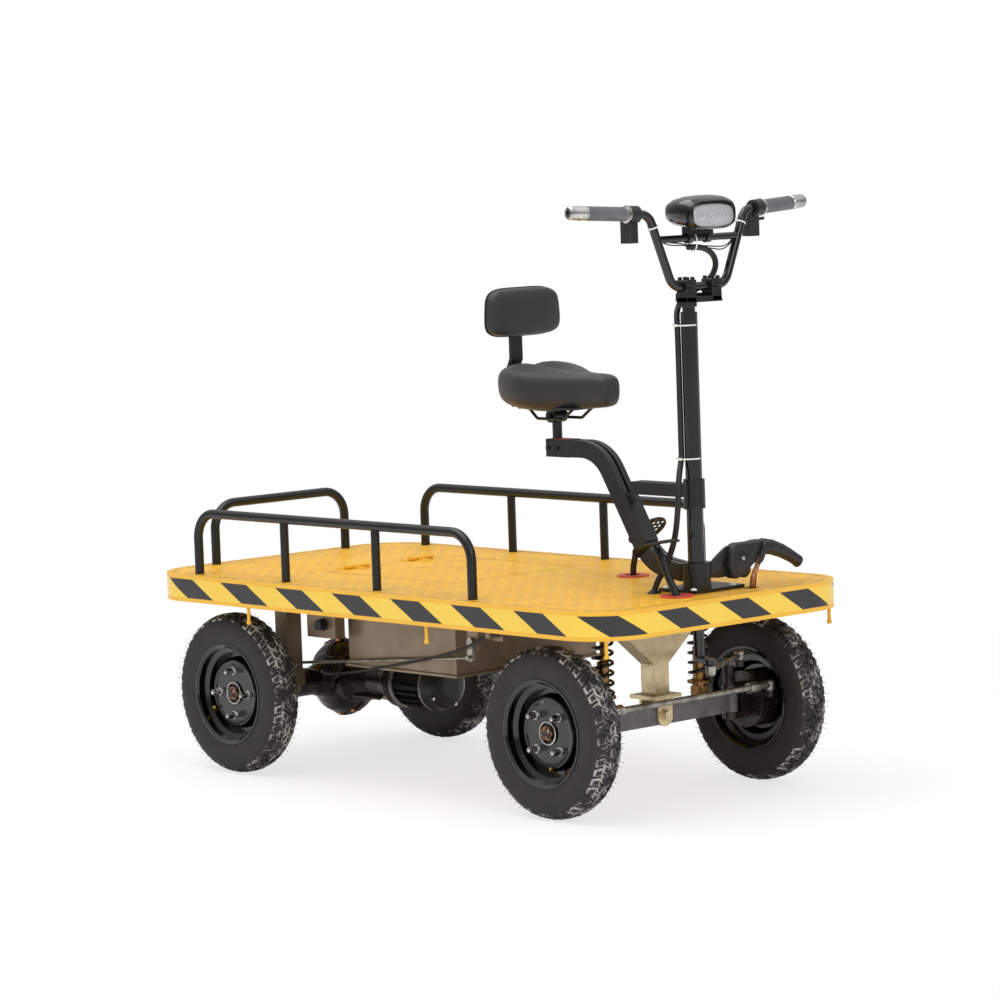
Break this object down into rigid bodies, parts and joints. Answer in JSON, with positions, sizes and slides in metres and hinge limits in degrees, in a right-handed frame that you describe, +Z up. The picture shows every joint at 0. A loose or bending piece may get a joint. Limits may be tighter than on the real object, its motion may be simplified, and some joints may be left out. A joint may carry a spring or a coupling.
{
  "type": "electric platform truck",
  "caption": "Ride-on flat-deck electric truck with side rails, striped skirt, saddle with backrest, steering column with handlebar, coil-sprung front axle and driven rear axle.",
  "frame": {"origin": "on the floor under the centre of the deck", "axes": "+X forward to the handlebar, +Y to the driver's left, +Z up"},
  "size_m": [1.8, 0.902, 1.519],
  "materials": {
    "seat_vinyl": "grained vinyl",
    "black_enamel": "gloss black enamel",
    "black_plastic": "moulded plastic",
    "zinc": "yellow zinc plate",
    "black_rubber": "moulded rubber",
    "bright_steel": "bright plated steel",
    "dark_steel": "dark grey paint",
    "deck_yellow": "satin yellow enamel",
    "aluminium": "machined",
    "lamp_shell": "gloss black",
    "lamp_lens": "clear moulded",
    "cast_black": "painted casting",
    "red_rubber": "moulded rubber",
    "tyre_rubber": "moulded rubber"
  },
  "bodies": {
    "root": {"backrest_pad": "seat_vinyl", "backrest_stalk": "black_enamel", "battery": "black_plastic", "battery_tray": "zinc", "brake_cable": "black_rubber", "brake_rod": "bright_steel", "charge_knob": "black_plastic", "column_base": "black_enamel", "column_link": "black_enamel", "cross_members": "dark_steel", "dampers": "zinc", "deck_frame": "dark_steel", "deck_plate": "deck_yellow", "deck_skirt": "deck_yellow", "drive_motor": "aluminium", "front_axle_beam": "dark_steel", "front_axle_bracket": "zinc", "hand_brake": "black_plastic", "hatch_hinges": "bright_steel", "loom_lower": "black_rubber", "pedal_boots": "red_rubber", "pedals": "black_enamel", "rail_left": "black_enamel", "rail_rear": "black_enamel", "rail_right": "black_enamel", "rear_axle": "cast_black", "rear_hangers": "zinc", "saddle": "seat_vinyl", "saddle_frame": "black_enamel", "seat_bracket": "black_enamel", "seat_post": "black_enamel", "side_brackets": "zinc", "springs": "black_enamel", "tie_down_pegs": "deck_yellow"},
    "steering": {"steering_column": "black_enamel", "bar_clamps": "black_enamel", "handlebar": "black_enamel", "grips": "bright_steel", "switch_housings": "black_plastic", "headlight": "lamp_shell", "headlight_lens": "lamp_lens", "loom_column": "black_rubber"},
    "hatch": {"deck_hatch": "deck_yellow"},
    "knuckle_left": {"knuckle_left": "cast_black"},
    "knuckle_right": {"knuckle_right": "cast_black"},
    "tie_rod": {"tie_rod": "bright_steel"},
    "drag_link": {"drag_link": "bright_steel"},
    "wheel_front_right": {"tyre_front_right": "tyre_rubber", "rim_front_right": "black_enamel", "hub_front_right": "cast_black"},
    "wheel_front_left": {"tyre_front_left": "tyre_rubber", "rim_front_left": "black_enamel", "hub_front_left": "cast_black"},
    "wheel_rear_right": {"tyre_rear_right": "tyre_rubber", "rim_rear_right": "black_enamel", "hub_rear_right": "cast_black"},
    "wheel_rear_left": {"tyre_rear_left": "tyre_rubber", "rim_rear_left": "black_enamel", "hub_rear_left": "cast_black"}
  },
  "joints": [
    {"name": "steer", "type": "hinge", "parent": "root", "child": "steering", "pos_m": [0.772, 0, 1], "axis": [0, 0, 1], "range_deg": [-34, 34]},
    {"name": "hatch_lid", "type": "hinge", "parent": "root", "child": "hatch", "pos_m": [-0.4325, 0, 0.542], "axis": [0, -1, 0], "range_deg": [0, 95]},
    {"name": "kingpin_left", "type": "hinge", "parent": "root", "child": "knuckle_left", "pos_m": [0.6175, 0.262, 0.216], "axis": [0, 0, 1], "range_deg": [-28.3, 28.3]},
    {"name": "kingpin_right", "type": "hinge", "parent": "root", "child": "knuckle_right", "pos_m": [0.6175, -0.262, 0.216], "axis": [0, 0, 1], "range_deg": [-28.3, 28.3]},
    {"name": "tie_rod_ball", "type": "hinge", "parent": "knuckle_left", "child": "tie_rod", "pos_m": [0.72, 0.305, 0.262], "axis": [0, 0, 1], "range_deg": [-28.3, 28.3]},
    {"name": "drag_link_ball", "type": "hinge", "parent": "steering", "child": "drag_link", "pos_m": [0.828, -0.018, 0.346], "axis": [0, 0, 1], "range_deg": [-38, 38]},
    {"name": "wheel_front_right_spin", "type": "hinge", "parent": "knuckle_right", "child": "wheel_front_right", "pos_m": [0.6175, -0.365, 0.216], "axis": [0, 1, 0], "continuous": true},
    {"name": "wheel_front_left_spin", "type": "hinge", "parent": "knuckle_left", "child": "wheel_front_left", "pos_m": [0.6175, 0.365, 0.216], "axis": [0, 1, 0], "continuous": true},
    {"name": "wheel_rear_right_spin", "type": "hinge", "parent": "root", "child": "wheel_rear_right", "pos_m": [-0.6175, -0.365, 0.216], "axis": [0, 1, 0], "continuous": true},
    {"name": "wheel_rear_left_spin", "type": "hinge", "parent": "root", "child": "wheel_rear_left", "pos_m": [-0.6175, 0.365, 0.216], "axis": [0, 1, 0], "continuous": true}
  ],
  "couplings": [
    {"joint": "kingpin_left", "follows": "steer", "ratio": 0.8175},
    {"joint": "kingpin_right", "follows": "steer", "ratio": 0.8175},
    {"joint": "tie_rod_ball", "follows": "steer", "ratio": -0.705},
    {"joint": "drag_link_ball", "follows": "steer", "ratio": -1.0686}
  ]
}
